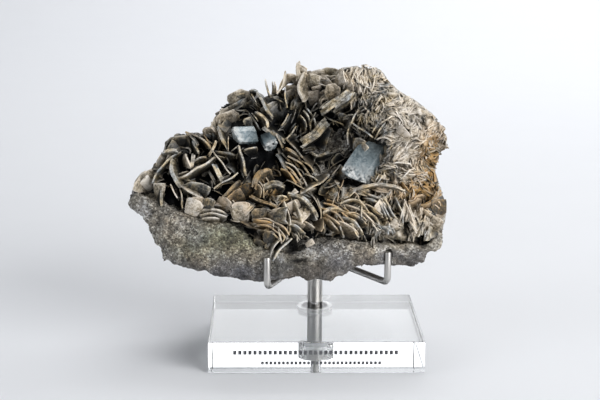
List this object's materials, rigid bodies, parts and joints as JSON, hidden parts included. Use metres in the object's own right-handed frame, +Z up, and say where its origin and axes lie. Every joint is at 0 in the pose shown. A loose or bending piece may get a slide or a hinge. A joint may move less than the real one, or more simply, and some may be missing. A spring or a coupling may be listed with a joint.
{
  "type": "aquamarine specimen",
  "caption": "Pale blue aquamarine prisms on a crust of muscovite blades over granular rock, held by rod arms on a post in a clear block.",
  "frame": {"origin": "centre of the clear block's underside, on the surface it stands on", "axes": "+Z up, +X to the viewer's right along the specimen's length, -Y towards the display side"},
  "size_m": [0.1931, 0.0989, 0.1736],
  "materials": {
    "clear_acrylic": "polished clear cast acrylic",
    "polished_steel": "fine satin stainless steel",
    "rock": "rough granular stone",
    "muscovite": "pearly mica, dark towards the roots",
    "aquamarine": "milky, satin crystal faces"
  },
  "bodies": {
    "root": {"acrylic_block": "clear_acrylic", "post": "polished_steel", "arm_left": "polished_steel", "arm_right": "polished_steel", "arm_back": "polished_steel", "base_screw": "polished_steel", "base_washer": "polished_steel", "matrix_rock": "rock", "muscovite_crust": "muscovite", "aquamarine_large": "aquamarine", "aquamarine_small": "aquamarine", "aquamarine_side": "aquamarine"}
  },
  "joints": []
}
